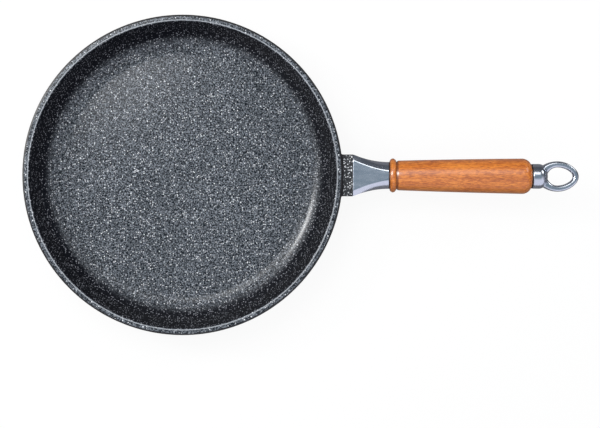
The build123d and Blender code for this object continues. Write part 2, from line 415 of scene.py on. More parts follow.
# flame guard
guard = {
    "length": 31.2, "frontHalf": 18.35, "frontTop": 12.63, "frontBottom": -14.25,
    "rearFlat": 11.78, "rearAcross": 12.15, "frontAcross": 25.5, "frontCrease": 13.6, "rearCrease": 4.0,
    "stations": 30, "flatParts": 8, "roundParts": 12, "creasePower": 1.36, "beside": 1.2, "besideMost": 0.6,
    "edge": 0.45, "edgeNear": 0.13, "edgeFar": 0.5, "wall": 2.2, "bulkhead": 4.0, "insideStations": 10,
    "tenon": 7.0, "tenonLength": 3.0, "bore": 4.3, "overlap": 1, "smooth": 40,
}


def guardOutline(share, inset=0.0):
    # four flats joined by round corners, the flats narrowing from the lug to the wood
    g = guard
    left = (1 - share) ** 2
    half = g["rearFlat"] + (g["frontHalf"] - g["rearFlat"]) * left - inset
    high = g["rearFlat"] + (g["frontTop"] - g["rearFlat"]) * left - inset
    low = -g["rearFlat"] + (g["frontBottom"] + g["rearFlat"]) * left + inset
    across = g["rearAcross"] + (g["frontAcross"] - g["rearAcross"]) * left - inset
    middle = (high + low) / 2
    tall = (high - low) / 2
    # the creases of the top flat run in from the corners of the lug, faster at first
    crease = g["rearCrease"] + (g["frontCrease"] - g["rearCrease"]) * (1 - share) ** g["creasePower"] - inset
    up = tall / sqrt(1 - (crease / across) ** 2)
    sideAngle = atan2(sqrt(1 - (half / across) ** 2), half / across)
    topAngle = atan2(tall / up, sqrt(1 - (tall / up) ** 2))
    quarter = []
    for step in range(g["roundParts"] + 1):
        angle = sideAngle + (topAngle - sideAngle) * step / g["roundParts"]
        quarter.append((across * cos(angle), up * sin(angle)))
    points = []
    corners = [
        quarter,
        [(-x, y) for x, y in reversed(quarter)],
        [(-x, -y) for x, y in quarter],
        [(x, -y) for x, y in reversed(quarter)],
    ]
    # close points on the flats keep the rounding of each crease narrow
    for index, corner in enumerate(corners):
        points += corner
        following = corners[(index + 1) % 4][0]
        flat = (Vector(following) - Vector(corner[-1])).length
        near = min(g["beside"] / flat, g["besideMost"] / g["flatParts"])
        inside = [part / g["flatParts"] for part in range(1, g["flatParts"])]
        for part in [near] + inside + [1 - near]:
            points.append(tuple(Vector(corner[-1]).lerp(Vector(following), part)))
    return [(x, y + middle) for x, y in points]


def makeGuard(metal):
    g = guard
    # up the hollow from its floor, round the front edge and back down the flared outside
    deep = g["length"] - g["bulkhead"]
    near = g["edgeNear"] * g["edge"]
    far = g["edgeFar"] * g["edge"]
    places = []
    for station in range(g["insideStations"] + 1):
        places.append((deep * (1 - station / g["insideStations"]), g["wall"]))
    places += [(0.0, g["edge"]), (near, far), (far, near), (g["edge"], 0.0)]
    for station in range(1, g["stations"] + 1):
        places.append((g["edge"] + (g["length"] - g["edge"]) * station / g["stations"], 0.0))
    rings = []
    for along, inset in places:
        rings.append([(x, y, along) for x, y in guardOutline(along / g["length"], inset)])
    piece = stackRings("flameGuard", rings)
    # tenon into the wood, and the hole for the rod
    combine(piece, roundBar(g["tenon"], g["length"] - g["overlap"], g["length"] + g["tenonLength"]), "UNION")
    combine(piece, roundBar(g["bore"], g["overlap"], g["length"] + 2 * g["tenonLength"]), "DIFFERENCE")
    dress(piece, metal, g["smooth"], handleStops["guard"])
    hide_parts("flame_guard")
    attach(piece, "pan")
    print("flame guard made")


# washers
washers = {
    "frontWasher": {"inner": 7.2, "outer": 11.8, "thick": 0.7},
    "endWasher": {"inner": 4.3, "outer": 10.55, "thick": 0.8},
    "round": 0.15, "steps": 64, "smooth": 40,
}


def makeWasher(name, node, body, rubber):
    inner, outer, thick = washers[name].values()
    r = washers["round"]
    outline = [(inner, 0), (outer - r, 0), (outer, r), (outer, thick - r), (outer - r, thick), (inner, thick)]
    piece = turnPiece(name, outline, washers["steps"])
    dress(piece, rubber, washers["smooth"], handleStops[name])
    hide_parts(node)
    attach(piece, body)
    print(name, "made")


# wooden grip
grip = {
    "length": 120.7, "bead": 15.0, "beadLength": 5.9, "beadFoot": 12.6, "groove": 1.5, "grooveDepth": 0.9,
    "front": 13.1, "rear": 15.3, "swell": 0.235, "end": 10.9, "endRound": 8.0, "endSlope": 52.0,
    "bore": 4.3, "socket": 7.2, "socketDepth": 2.5, "faceRound": 0.4, "faceRise": 0.15, "beadPower": 0.62,
    "grooveFloor": 0.35, "grooveEdge": 0.1, "grooveRun": 0.5, "rimOut": 0.3, "rimBack": 0.35, "rimIn": 0.1,
    "endGap": 0.02, "beadParts": 15, "bodyParts": 24, "endParts": 12, "steps": 128, "smooth": 50,
}


def gripOutline():
    w = grip
    slope = radians(w["endSlope"])
    coneDrop = w["rear"] - w["end"] - w["endRound"] * (1 - cos(slope))
    coneLength = coneDrop / tan(slope)
    roundStart = w["length"] - coneLength - w["endRound"] * sin(slope)
    # socket for the guard's tenon, then the front face
    points = [(w["bore"], w["socketDepth"]), (w["socket"], w["socketDepth"]), (w["socket"], 0)]
    points += [(w["beadFoot"] - w["faceRound"], 0), (w["beadFoot"], w["faceRise"])]
    # the bead, a little fuller than a plain arc
    grooveRadius = w["front"] - w["grooveDepth"]
    for step in range(1, w["beadParts"]):
        along = step / w["beadParts"]
        rise = sin(pi * along) ** w["beadPower"]
        foot = w["beadFoot"] + (grooveRadius - w["beadFoot"]) * along
        points.append((foot + (w["bead"] - foot) * rise, w["beadLength"] * along))
    points.append((grooveRadius, w["beadLength"]))
    points.append((grooveRadius, w["beadLength"] + w["grooveFloor"]))
    points.append((w["front"] - w["grooveEdge"], w["beadLength"] + w["groove"]))
    first = w["beadLength"] + w["groove"] + w["grooveRun"]
    for step in range(w["bodyParts"] + 1):
        along = step / w["bodyParts"]
        radius = w["front"] + (w["rear"] - w["front"]) * along + w["swell"] * 4 * along * (1 - along)
        points.append((radius, first + (roundStart - first) * along))
    roundCentre = (w["rear"] - w["endRound"], roundStart)
    points += arcPoints(roundCentre, w["endRound"], w["endRound"], 0, w["endSlope"], w["endParts"])
    face = w["length"] - w["endGap"]
    points.append((w["end"] + w["rimOut"], w["length"] - w["rimBack"]))
    return points + [(w["end"] - w["rimIn"], face), (w["bore"], face)]


def makeGrip(wood):
    piece = turnPiece("woodenGrip", gripOutline(), grip["steps"])
    dress(piece, wood, grip["smooth"], handleStops["wood"])
    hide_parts("wooden_handle")
    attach(piece, "pan")
    print("wooden grip made")


# hanging loop
loop = {
    "collar": 10.7, "collarLength": 5.8, "domeLength": 7.4, "domeCrown": 14.0, "collarRound": 0.6,
    "length": 38.8, "half": 13.1, "sideBar": 5.3, "tipBar": 4.7,
    "nose": 17.6, "noseRound": 8.9, "heel": 18.4, "heelRound": 9.0,
    "holeNoseRound": 4.6, "holeHeel": 8.6, "holeHeelRound": 5.6, "rootThick": 8.6, "tipThick": 6.8,
    "barPower": 3.1, "bore": 4.05, "boreDepth": 8.6, "around": 96, "section": 24, "voxel": 0.24,
    "collarEdge": (0.15, 0.2), "domeParts": 24, "collarSteps": 96,
    "soften": 0.5, "softenTimes": 7, "smooth": 40,
}


def ovalReach(angle, half, length, endRound):
    # distance from the middle of a tangent-arc quarter oval to its edge, at this angle from its side
    sideRound = (half ** 2 + length ** 2 - 2 * length * endRound) / (2 * (half - endRound))
    low, high = 0.0, half + length
    for _ in range(40):
        reach = (low + high) / 2
        x, y = reach * cos(angle), reach * sin(angle)
        turn = atan((length - endRound) / (sideRound - half))
        sideX = half - sideRound
        if atan2(y, x - sideX) < turn:
            inside = (x - sideX) ** 2 + y ** 2 < sideRound ** 2
        else:
            inside = x ** 2 + (y - length + endRound) ** 2 < endRound ** 2
        if inside:
            low = reach
        else:
            high = reach
    return (low + high) / 2


def loopReach(angle, hole):
    angle = angle % (2 * pi)
    nose = angle <= pi
    folded = angle if angle <= pi / 2 else abs(pi - angle) if angle < 1.5 * pi else 2 * pi - angle
    if hole:
        half = loop["half"] - loop["sideBar"]
        if nose:
            return ovalReach(folded, half, loop["nose"] - loop["tipBar"], loop["holeNoseRound"])
        return ovalReach(folded, half, loop["holeHeel"], loop["holeHeelRound"])
    if nose:
        return ovalReach(folded, loop["half"], loop["nose"], loop["noseRound"])
    return ovalReach(folded, loop["half"], loop["heel"], loop["heelRound"])


def makeLoop(metal):
    p = loop
    # a torus laid onto the oval bar
    bpy.ops.object.select_all(action="DESELECT")
    bpy.ops.mesh.primitive_torus_add(major_segments=p["around"], minor_segments=p["section"])
    bar = bpy.context.object
    bar.name = "loopBar"
    middle = p["length"] - p["nose"]
    for index, vertex in enumerate(bar.data.vertices):
        angle = 2 * pi * (index // p["section"]) / p["around"]
        turn = 2 * pi * (index % p["section"]) / p["section"]
        outer, inner = loopReach(angle, False), loopReach(angle, True)
        centre = (outer + inner) / 2
        wide = (outer - inner) / 2
        along = middle + centre * sin(angle)
        thick = p["rootThick"] + (p["tipThick"] - p["rootThick"]) * along / p["length"]
        # a rounded oblong as a power ellipse
        swing = 2 / p["barPower"]
        across = (abs(cos(turn)) ** swing) * (1 if cos(turn) >= 0 else -1)
        up = (abs(sin(turn)) ** swing) * (1 if sin(turn) >= 0 else -1)
        reach = centre + wide * across
        vertex.co = Vector((reach * cos(angle), up * thick / 2, middle + reach * sin(angle))) * mm
    facesOut(bar)
    # the domed collar
    inward, upward = p["collarEdge"]
    outline = [(0, 0), (p["collar"] - p["collarRound"], 0), (p["collar"] - inward, upward)]
    outline.append((p["collar"], p["collarRound"]))
    for step in range(p["domeParts"]):
        angle = pi / 2 * step / p["domeParts"]
        reach = ovalReach(angle, p["collar"], p["domeLength"], p["domeCrown"])
        outline.append((reach * cos(angle), p["collarLength"] + reach * sin(angle)))
    outline.append((0, p["collarLength"] + p["domeLength"]))
    combine(bar, turnPiece("loopCollar", outline, p["collarSteps"]), "UNION")
    remesh = bar.modifiers.new("cast", "REMESH")
    remesh.mode = "VOXEL"
    remesh.voxel_size = p["voxel"] * mm
    soften = bar.modifiers.new("soften", "SMOOTH")
    soften.factor = p["soften"]
    soften.iterations = p["softenTimes"]
    applyAll(bar)
    # the threaded bore
    combine(bar, roundBar(p["bore"], -p["boreDepth"], p["boreDepth"]), "DIFFERENCE")
    bar.name = "hangingLoop"
    dress(bar, metal, p["smooth"], handleStops["loop"])
    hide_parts("hanging_loop")
    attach(bar, "loop")
    print("hanging loop made")


# tie rod
rod = {
    "start": -9.4, "end": 161.8, "crest": 4.0, "root": 3.35, "pitch": 1.25, "chamfer": 0.8,
    "around": 40, "perTurn": 10, "frontThread": 26.0, "rearThread": 24.0, "runOut": 1.6,
    "flank": 1.25, "beyond": 0.5, "smooth": 50,
}


def threadRadius(along, turn):
    # a right-hand thread at both ends that fades into the plain shank
    r = rod
    fromEnd = min(along - r["start"], r["end"] - along)
    length = r["frontThread"] if along < (r["start"] + r["end"]) / 2 else r["rearThread"]
    fade = min(max((length - fromEnd) / r["runOut"], 0), 1)
    phase = (along / r["pitch"] - turn) % 1
    tooth = min(abs(2 * phase - 1) * r["flank"], 1)
    radius = r["crest"] - (r["crest"] - r["root"]) * (1 - tooth) * fade
    ceiling = r["crest"] - r["chamfer"] + fromEnd
    return min(radius, ceiling)


def rodStations():
    # close together in the threads, far apart in the plain middle
    r = rod
    step = r["pitch"] / r["perTurn"]
    stations = []
    along = r["start"]
    while along < r["start"] + r["frontThread"] + r["beyond"]:
        stations.append(along)
        along += step
    along = r["end"] - r["rearThread"] - r["beyond"]
    while along < r["end"] - step / 2:
        stations.append(along)
        along += step
    return stations + [r["end"]]


def makeRod(steel):
    # a flat grid is rolled into a tube, sewn along its seam and closed at both ends
    r = rod
    stations = rodStations()
    bpy.ops.object.select_all(action="DESELECT")
    bpy.ops.mesh.primitive_grid_add(x_subdivisions=r["around"], y_subdivisions=len(stations) - 1, size=1)
    piece = bpy.context.object
    piece.name = "threadedRod"
    for vertex in piece.data.vertices:
        turn = vertex.co.x + 0.5
        along = stations[round((vertex.co.y + 0.5) * (len(stations) - 1))]
        radius = threadRadius(along, turn)
        angle = 2 * pi * turn
        vertex.co = Vector((radius * cos(angle), radius * sin(angle), along)) * mm
    onlyThis(piece)
    editMode()
    bpy.ops.mesh.select_all(action="SELECT")
    bpy.ops.mesh.remove_doubles(threshold=tiny["weld"])
    bpy.ops.mesh.fill_holes(sides=0)
    objectMode()
    facesOut(piece)
    dress(piece, steel, r["smooth"], 0)
    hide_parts("tie_rod")
    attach(piece, "pan")
    print("rod made")


# finishes
def newFinish(name):
    material = bpy.data.materials.new(name)
    material.use_nodes = True
    tree = material.node_tree
    return material, tree, tree.nodes["Principled BSDF"]


def addNode(tree, kind, **settings):
    node = tree.nodes.new(kind)
    for key, value in settings.items():
        setattr(node, key, value)
    return node


def setValues(node, **values):
    for key, value in values.items():
        node.inputs[key.replace("_", " ")].default_value = value
    return node


def feed(tree, node, **sources):
    # links each source to the node's input of that name
    for key, source in sources.items():
        tree.links.new(source, node.inputs[key.replace("_", " ")])
    return node


def rampNode(tree, source, stops, smooth=False):
    # a colour ramp from (place, grey) or (place, colour) stops
    node = feed(tree, addNode(tree, "ShaderNodeValToRGB"), Fac=source)
    node.color_ramp.interpolation = "EASE" if smooth else "LINEAR"
    while len(node.color_ramp.elements) < len(stops):
        node.color_ramp.elements.new(0.5)
    for element, (place, tone) in zip(node.color_ramp.elements, stops):
        element.position = place
        element.color = tone if isinstance(tone, tuple) else (tone, tone, tone, 1)
    return node.outputs["Color"]


def fillInputs(tree, pairs):
    # each input gets a link or, from a plain value, a constant
    for socket, value in pairs:
        if isinstance(value, bpy.types.NodeSocket):
            tree.links.new(value, socket)
        else:
            socket.default_value = value


def mixColours(tree, share, first, second):
    node = addNode(tree, "ShaderNodeMix", data_type="RGBA")
    fillInputs(tree, ((node.inputs[0], share), (node.inputs[6], first), (node.inputs[7], second)))
    return node.outputs[2]


def mathNode(tree, operation, first, second=0.5):
    node = addNode(tree, "ShaderNodeMath", operation=operation)
    fillInputs(tree, zip(node.inputs, (first, second)))
    return node.outputs[0]


def weigh(tree, first, firstShare, second, secondShare):
    # the sum of two values, each times its share
    first = mathNode(tree, "MULTIPLY", first, firstShare)
    return mathNode(tree, "ADD", first, mathNode(tree, "MULTIPLY", second, secondShare))


def spanNode(tree, value, low, high, first=0.0, last=1.0, smooth=False):
    # runs from the first number to the last while the value goes from low to high
    span = addNode(tree, "ShaderNodeMapRange", interpolation_type="SMOOTHSTEP" if smooth else "LINEAR")
    setValues(span, From_Min=low, From_Max=high, To_Min=first, To_Max=last)
    return feed(tree, span, Value=value).outputs["Result"]


def bandMask(tree, value, middle, inner, outer):
    # one near the middle value, falling to nothing at the outer distance
    away = mathNode(tree, "ABSOLUTE", mathNode(tree, "SUBTRACT", value, middle))
    return spanNode(tree, away, inner, outer, 1.0, 0.0, smooth=True)


def objectPlace(tree, stretch=0.0):
    # object coordinates, or with a stretch the handle's own frame: along, across and up
    coords = addNode(tree, "ShaderNodeTexCoord")
    if not stretch:
        return coords.outputs["Object"]
    mapping = addNode(tree, "ShaderNodeMapping", vector_type="TEXTURE")
    setValues(mapping, Location=(handleLine["startX"] * mm, 0, handleLine["startZ"] * mm),
              Rotation=(0, -handleLine["tilt"], 0), Scale=(stretch, 1, 1))
    return feed(tree, mapping, Vector=coords.outputs["Object"]).outputs["Vector"]


def axisValue(tree, axis, stretch=0.0):
    # one coordinate, in the object's frame or in the handle's
    split = feed(tree, addNode(tree, "ShaderNodeSeparateXYZ"), Vector=objectPlace(tree, stretch))
    return split.outputs[axis]


def fromMiddle(tree):
    # distance from the upright axis through the bowl
    flat = addNode(tree, "ShaderNodeVectorMath", operation="MULTIPLY")
    flat.inputs[1].default_value = (1, 1, 0)
    tree.links.new(objectPlace(tree), flat.inputs[0])
    radius = addNode(tree, "ShaderNodeVectorMath", operation="LENGTH")
    tree.links.new(flat.outputs["Vector"], radius.inputs[0])
    return radius.outputs["Value"]


def noiseNode(tree, vector, **values):
    noise = setValues(addNode(tree, "ShaderNodeTexNoise"), **values)
    return feed(tree, noise, Vector=vector)


def newGroup(name, inputs, outputs):
    # a node group, with the kind of each input and output
    group = bpy.data.node_groups.new(name, "ShaderNodeTree")
    for side, sockets in (("INPUT", inputs), ("OUTPUT", outputs)):
        for label, kind in sockets.items():
            group.interface.new_socket(label, in_out=side, socket_type="NodeSocket" + kind)
    return group, addNode(group, "NodeGroupInput").outputs, addNode(group, "NodeGroupOutput").inputs


def addBump(tree, shader, height, look):
    bump = setValues(addNode(tree, "ShaderNodeBump"), Strength=look["bump"], Distance=look["bumpDepth"] * mm)
    feed(tree, shader, Normal=feed(tree, bump, Height=height).outputs["Normal"])


stone = {
    "grainScale": 820.0, "grainDetail": 1.6, "grainRough": 0.55, "grainTwist": 0.8,
    "grainStops": [(0.43, 0.0), (0.52, 0.30), (0.61, 1.0)],
    "patchScale": 38.0, "patchDetail": 2.0, "patchStops": [(0.3, 0.78), (0.7, 1.0)],
    "smallFlecks": {"scale": 330.0, "near": 0.12, "far": 0.22, "low": 0.56, "high": 0.88},
    "dustFlecks": {"scale": 620.0, "near": 0.20, "far": 0.36, "low": 0.55, "high": 1.0},
    "ground": (0.009, 0.012, 0.016, 1), "grain": (0.226, 0.252, 0.289, 1), "fleck": (0.93, 0.96, 1.0, 1),
    "rough": 0.21, "roughSwing": 0.06, "bump": 0.25, "bumpDepth": 0.05, "shine": 0.20,
    # steep faces: painted shade (darker ground, dimmer flecks, little grain), full roughness and some extra
    # flecks
    "steep": 0.60, "open": 0.93, "wallShadeCover": 0.04, "steepFlecks": 0.20, "steepRough": (1.0, 1.0, 1.0, 1),
    "wallShadeGround": (0.001, 0.002, 0.006, 1), "wallShadeFleck": (0.46, 0.48, 0.54, 1),
    # the rounded inner edge of the lip: a band with a painted highlight
    "edgeMiddle": 0.1352, "edgeInner": 0.0001, "edgeOuter": 0.0005, "edgeLow": 0.0455,
    "lipHighlightColour": (0.44, 0.47, 0.51, 1), "lipHighlightShare": 0.85,
}


def buildStoneGroup():
    # dense light grain on a dark ground, with scattered white flecks
    inputs = {"Vector": "Vector", "Cover": "Float", "More Flecks": "Float",
              "Ground": "Color", "Grain": "Color", "Fleck": "Color"}
    outputs = {"Color": "Color", "Height": "Float", "Fleck Mask": "Float"}
    group, start, end = newGroup("stoneSpeckle", inputs, outputs)
    link = group.links.new
    grain = noiseNode(group, start["Vector"], Scale=stone["grainScale"], Detail=stone["grainDetail"],
                      Roughness=stone["grainRough"], Distortion=stone["grainTwist"])
    mask = rampNode(group, grain.outputs["Fac"], stone["grainStops"])
    # the spray lies thicker in some patches than in others
    patches = noiseNode(group, start["Vector"], Scale=stone["patchScale"], Detail=stone["patchDetail"])
    drift = rampNode(group, patches.outputs["Fac"], stone["patchStops"])
    mask = mathNode(group, "MULTIPLY", mathNode(group, "MULTIPLY", mask, drift), start["Cover"])
    colour = mixColours(group, mask, start["Ground"], start["Grain"])
    spots = []
    for kind in (stone["smallFlecks"], stone["dustFlecks"]):
        cells = setValues(addNode(group, "ShaderNodeTexVoronoi"), Scale=kind["scale"])
        feed(group, cells, Vector=start["Vector"])
        spot = rampNode(group, cells.outputs["Distance"], [(kind["near"], 1.0), (kind["far"], 0.0)])
        split = feed(group, addNode(group, "ShaderNodeSeparateColor"), Color=cells.outputs["Color"])
        odds = mathNode(group, "ADD", split.outputs["Red"], start["More Flecks"])
        chance = rampNode(group, odds, [(kind["low"], 0.0), (kind["high"], 1.0)])
        spots.append(mathNode(group, "MULTIPLY", spot, chance))
    flecks = mathNode(group, "MAXIMUM", *spots)
    link(mixColours(group, flecks, colour, start["Fleck"]), end["Color"])
    link(mathNode(group, "ADD", mask, flecks), end["Height"])
    link(flecks, end["Fleck Mask"])
    return group


def buildSlopeGroup():
    # how far a face looks up, in the object's own frame, between two limits
    group, start, end = newGroup("upwardFaces", {"From": "Float", "To": "Float"}, {"Mask": "Float"})
    coords = addNode(group, "ShaderNodeTexCoord")
    split = feed(group, addNode(group, "ShaderNodeSeparateXYZ"), Vector=coords.outputs["Normal"])
    span = addNode(group, "ShaderNodeMapRange", interpolation_type="SMOOTHSTEP")
    feed(group, span, Value=split.outputs["Z"], From_Min=start["From"], From_Max=start["To"])
    group.links.new(span.outputs["Result"], end["Mask"])
    return group


def buildWearGroup():
    # soft patches and fine streaks that vary a metal's or a coat's tone and gloss
    inputs = {"Vector": "Vector", "Patch Scale": "Float", "Fine Scale": "Float"}
    group, start, end = newGroup("surfaceDrift", inputs, {"Patches": "Float", "Fine": "Float"})
    patches = noiseNode(group, start["Vector"], Detail=4.0, Roughness=0.6)
    fine = noiseNode(group, start["Vector"], Detail=3.0, Roughness=0.7)
    feed(group, patches, Scale=start["Patch Scale"])
    feed(group, fine, Scale=start["Fine Scale"])
    group.links.new(patches.outputs["Fac"], end["Patches"])
    group.links.new(fine.outputs["Fac"], end["Fine"])
    return group


groups = {"stone": buildStoneGroup(), "drift": buildWearGroup(), "slope": buildSlopeGroup()}


def groupNode(tree, name, **values):
    return setValues(addNode(tree, "ShaderNodeGroup", node_tree=groups[name]), **values)


def driftNode(tree, look, stretch=0.0):
    # the drift group, at the scales of this finish
    node = groupNode(tree, "drift", Patch_Scale=look["patchScale"], Fine_Scale=look["fineScale"])
    return feed(tree, node, Vector=objectPlace(tree, stretch)).outputs


def speckleNode(tree, moreFlecks=None):
    # painted shade: steep walls get a darker ground, dimmer flecks and less of the light grain, standing in
    # for the shade that falls on them
    slope = groupNode(tree, "slope", From=stone["steep"], To=stone["open"]).outputs["Mask"]
    cover = mathNode(tree, "MULTIPLY", slope, 1 - stone["wallShadeCover"])
    speckle = groupNode(tree, "stone", Grain=stone["grain"])
    feed(tree, speckle, Vector=objectPlace(tree), Cover=mathNode(tree, "ADD", cover, stone["wallShadeCover"]))
    if moreFlecks is None:
        flecks = mathNode(tree, "SUBTRACT", 1.0, slope)
        feed(tree, speckle, More_Flecks=mathNode(tree, "MULTIPLY", flecks, stone["steepFlecks"]))
    else:
        setValues(speckle, More_Flecks=moreFlecks)
    feed(tree, speckle, Ground=mixColours(tree, slope, stone["wallShadeGround"], stone["ground"]),
         Fleck=mixColours(tree, slope, stone["wallShadeFleck"], stone["fleck"]))
    return speckle.outputs, slope


def makeSpray():
    material, tree, shader = newFinish("stoneSpray")
    speckle, slope = speckleNode(tree)
    # painted highlight: a pale band painted on the rounded inner edge of the lip, where a highlight lies,
    # kept glossy
    edge = bandMask(tree, fromMiddle(tree), stone["edgeMiddle"], stone["edgeInner"], stone["edgeOuter"])
    high = mathNode(tree, "GREATER_THAN", axisValue(tree, "Z"), stone["edgeLow"])
    edge = mathNode(tree, "MULTIPLY", mathNode(tree, "MULTIPLY", edge, high), stone["lipHighlightShare"])
    colour = mixColours(tree, edge, speckle["Color"], stone["lipHighlightColour"])
    rough = mathNode(tree, "MULTIPLY", speckle["Height"], stone["roughSwing"])
    rough = mathNode(tree, "ADD", rough, stone["rough"] - stone["roughSwing"] / 2)
    rough = mixColours(tree, mathNode(tree, "MAXIMUM", slope, edge), stone["steepRough"], rough)
    feed(tree, shader, Base_Color=colour, Roughness=rough)
    shader.inputs["Specular IOR Level"].default_value = stone["shine"]
    addBump(tree, shader, speckle["Height"], stone)
    return material


coatLook = {
    "dark": (0.006, 0.006, 0.007, 1), "light": (0.013, 0.013, 0.015, 1), "shine": 0.45,
    "roughStops": [(0.3, 0.39), (0.7, 0.50)], "patchScale": 18.0, "fineScale": 1500.0,
    "lugDark": 0.8, "lugFlecks": 0.42, "lugFrom": 0.1401, "lugTo": 0.1412, "lugSteep": 0.35, "lugOpen": 0.75,
    "bump": 0.3, "bumpDepth": 0.05,
}


def makeCoat():
    # matte black outside; the top of the lug carries the same speckle as the bowl
    look = coatLook
    material, tree, shader = newFinish("bodyCoat")
    drift = driftNode(tree, look)
    plain = mixColours(tree, drift["Patches"], look["dark"], look["light"])
    speckle, _ = speckleNode(tree, look["lugFlecks"])
    slope = groupNode(tree, "slope", From=look["lugSteep"], To=look["lugOpen"]).outputs["Mask"]
    outside = spanNode(tree, axisValue(tree, "X"), look["lugFrom"], look["lugTo"])
    dusted = mixColours(tree, look["lugDark"], speckle["Color"], look["dark"])
    dusted = mixColours(tree, speckle["Fleck Mask"], dusted, stone["fleck"])
    colour = mixColours(tree, mathNode(tree, "MULTIPLY", slope, outside), plain, dusted)
    rough = rampNode(tree, drift["Patches"], look["roughStops"])
    feed(tree, shader, Base_Color=colour, Roughness=rough)
    shader.inputs["Specular IOR Level"].default_value = look["shine"]
    addBump(tree, shader, drift["Fine"], look)
    return material


metalLook = {
    "colours": [(0.35, (0.56, 0.60, 0.66, 1)), (0.65, (0.68, 0.71, 0.76, 1))],
    "roughStops": [(0.35, 0.16), (0.65, 0.28)], "fineShare": 0.45, "patchShare": 0.55, "stretch": 4.5,
    "patchScale": 160.0, "fineScale": 1800.0, "bump": 0.12, "bumpDepth": 0.03,
}


def makeMetal():
    # cast aluminium, polished to a satin, with faint streaks along the handle
    look = metalLook
    material, tree, shader = newFinish("satinAluminium")
    drift = driftNode(tree, look, look["stretch"])
    tone = weigh(tree, drift["Fine"], look["fineShare"], drift["Patches"], look["patchShare"])
    feed(tree, shader, Base_Color=rampNode(tree, tone, look["colours"]),
         Roughness=rampNode(tree, tone, look["roughStops"]))
    shader.inputs["Metallic"].default_value = 1
    addBump(tree, shader, drift["Fine"], look)
    return material


woodLook = {
    "colours": [(0.40, (0.45, 0.110, 0.013, 1)), (0.5, (0.67, 0.192, 0.025, 1)),
                (0.61, (0.84, 0.29, 0.045, 1))],
    "pore": (0.26, 0.055, 0.006, 1), "poreStops": [(0.58, 0.0), (0.68, 0.6)], "poreScale": 1500.0,
    "waveScale": 90.0, "waveShare": 0.3, "waveTwist": 0.8, "streakScale": 1050.0, "streakShare": 0.7,
    "streakRough": 0.65, "stretch": 4.5, "streakStretch": 5.0, "roughStops": [(0.4, 0.42), (0.6, 0.32)],
    # painted shade: darker bands in the groove behind the bead and at the bead's foot
    "paintedShade": (0.10, 0.022, 0.004, 1), "paintedShadeShare": 0.7, "grooveMiddle": 38.75, "footMiddle": 31.9,
    "paintedShadeInner": 0.5, "paintedShadeOuter": 1.5, "varnish": 0.75, "varnishRough": 0.24,
    "bump": 0.2, "bumpDepth": 0.05,
}


def makeWood():
    # close straight grain along the handle, short dark pores and broad paler waves, under a satin varnish
    look = woodLook
    material, tree, shader = newFinish("varnishedWood")
    wave = noiseNode(tree, objectPlace(tree, look["stretch"]), Scale=look["waveScale"], Detail=3.0,
                     Distortion=look["waveTwist"])
    streak = noiseNode(tree, objectPlace(tree, look["streakStretch"]), Scale=look["streakScale"], Detail=4.0,
                       Roughness=look["streakRough"])
    pore = noiseNode(tree, objectPlace(tree, look["stretch"]), Scale=look["poreScale"], Detail=2.0)
    grain = weigh(tree, wave.outputs["Fac"], look["waveShare"], streak.outputs["Fac"], look["streakShare"])
    colour = rampNode(tree, grain, look["colours"])
    colour = mixColours(tree, rampNode(tree, pore.outputs["Fac"], look["poreStops"]), colour, look["pore"])
    # painted shade: darker bands painted in the groove behind the bead and at the bead's foot, where shade
    # falls
    paintedShades = []
    for middle in (look["grooveMiddle"], look["footMiddle"]):
        along = axisValue(tree, "X", 1.0)
        paintedShades.append(bandMask(tree, along, middle * mm, look["paintedShadeInner"] * mm, look["paintedShadeOuter"] * mm))
    paintedShade = mathNode(tree, "MULTIPLY", mathNode(tree, "MAXIMUM", *paintedShades), look["paintedShadeShare"])
    feed(tree, shader, Base_Color=mixColours(tree, paintedShade, colour, look["paintedShade"]),
         Roughness=rampNode(tree, grain, look["roughStops"]))
    shader.inputs["Coat Weight"].default_value = look["varnish"]
    shader.inputs["Coat Roughness"].default_value = look["varnishRough"]
    addBump(tree, shader, pore.outputs["Fac"], look)
    return material


rubberLook = {
    "colours": [(0.3, (0.010, 0.008, 0.007, 1)), (0.7, (0.03, 0.024, 0.02, 1))], "rough": 0.7,
    "patchScale": 220.0, "fineScale": 2600.0, "bump": 0.3, "bumpDepth": 0.04,
}


def makeRubber():
    material, tree, shader = newFinish("blackWasher")
    drift = driftNode(tree, rubberLook)
    feed(tree, shader, Base_Color=rampNode(tree, drift["Patches"], rubberLook["colours"]))
    shader.inputs["Roughness"].default_value = rubberLook["rough"]
    addBump(tree, shader, drift["Fine"], rubberLook)
    return material


steelLook = {
    "colours": [(0.3, (0.42, 0.43, 0.45, 1)), (0.7, (0.62, 0.62, 0.6, 1))],
    "roughStops": [(0.3, 0.24), (0.7, 0.42)], "patchScale": 260.0, "fineScale": 2400.0,
    "bump": 0.15, "bumpDepth": 0.03,
}


def makeSteel():
    # zinc-plated steel of the rod, nut, washer and insert
    material, tree, shader = newFinish("platedSteel")
    drift = driftNode(tree, steelLook)
    feed(tree, shader, Base_Color=rampNode(tree, drift["Patches"], steelLook["colours"]),
         Roughness=rampNode(tree, drift["Fine"], steelLook["roughStops"]))
    shader.inputs["Metallic"].default_value = 1
    addBump(tree, shader, drift["Fine"], steelLook)
    return material


spunLook = {
    "colours": [(0.3, (0.44, 0.44, 0.45, 1)), (0.7, (0.64, 0.63, 0.61, 1))],
    "roughStops": [(0.35, 0.26), (0.65, 0.42)],
    "ringScale": 2600.0, "ringShare": 0.6, "patchShare": 0.4,
    "patchScale": 14.0, "fineScale": 900.0, "bump": 0.3, "bumpDepth": 0.05,
}


